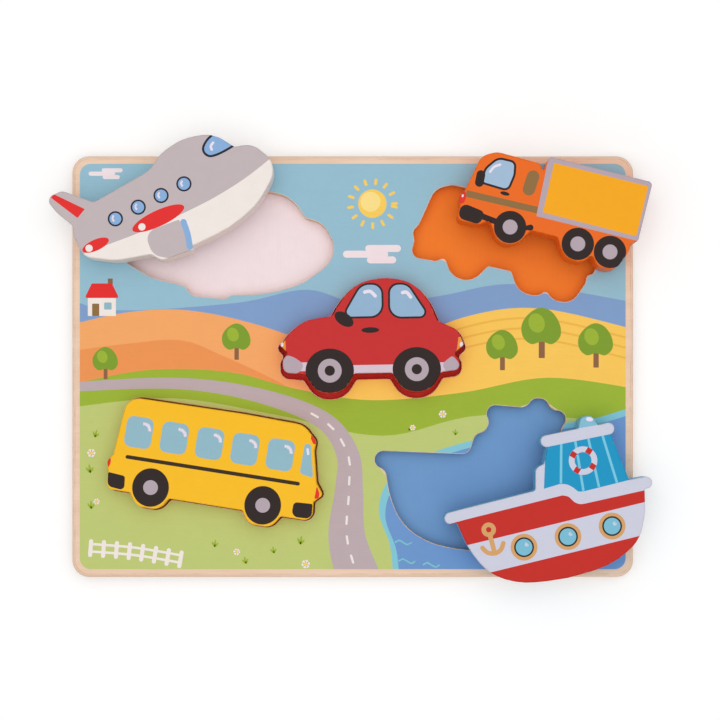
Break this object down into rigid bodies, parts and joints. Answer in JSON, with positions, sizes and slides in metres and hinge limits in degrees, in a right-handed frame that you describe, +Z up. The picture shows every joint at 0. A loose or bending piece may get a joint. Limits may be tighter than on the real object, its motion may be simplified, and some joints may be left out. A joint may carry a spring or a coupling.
{
  "type": "lift-out vehicle puzzle",
  "caption": "Wooden toddler puzzle: a printed plywood tray with shaped pockets, and thick painted vehicles that are lifted out by hand.",
  "frame": {"origin": "middle of the tray's underside, on the surface that the tray lies on", "axes": "+X along the tray's length to the right of the picture, +Y to the top of the picture, +Z up out of the printed face"},
  "size_m": [0.3167, 0.2352, 0.028],
  "materials": {
    "front_board": "sanded plywood, printed face",
    "back_board": "sanded plywood, tinted pocket floors",
    "plane_paint": "satin paint with printed face",
    "truck_paint": "satin paint with printed face",
    "car_paint": "satin paint with printed face",
    "bus_paint": "satin paint with printed face",
    "boat_paint": "satin paint with printed face"
  },
  "bodies": {
    "tray": {"front_board": "front_board", "back_board": "back_board"},
    "plane": {"plane": "plane_paint"},
    "truck": {"truck": "truck_paint"},
    "car": {"car": "car_paint"},
    "bus": {"bus": "bus_paint"},
    "boat": {"boat": "boat_paint"}
  },
  "joints": [
    {"name": "plane_lift", "type": "slide", "parent": "tray", "child": "plane", "axis": [0, 0, 1], "range_m": [0, 0.04]},
    {"name": "truck_lift", "type": "slide", "parent": "tray", "child": "truck", "axis": [0, 0, 1], "range_m": [0, 0.04]},
    {"name": "car_lift", "type": "slide", "parent": "tray", "child": "car", "axis": [0, 0, 1], "range_m": [0, 0.04]},
    {"name": "bus_lift", "type": "slide", "parent": "tray", "child": "bus", "axis": [0, 0, 1], "range_m": [0, 0.04]},
    {"name": "boat_lift", "type": "slide", "parent": "tray", "child": "boat", "axis": [0, 0, 1], "range_m": [0, 0.04]}
  ]
}
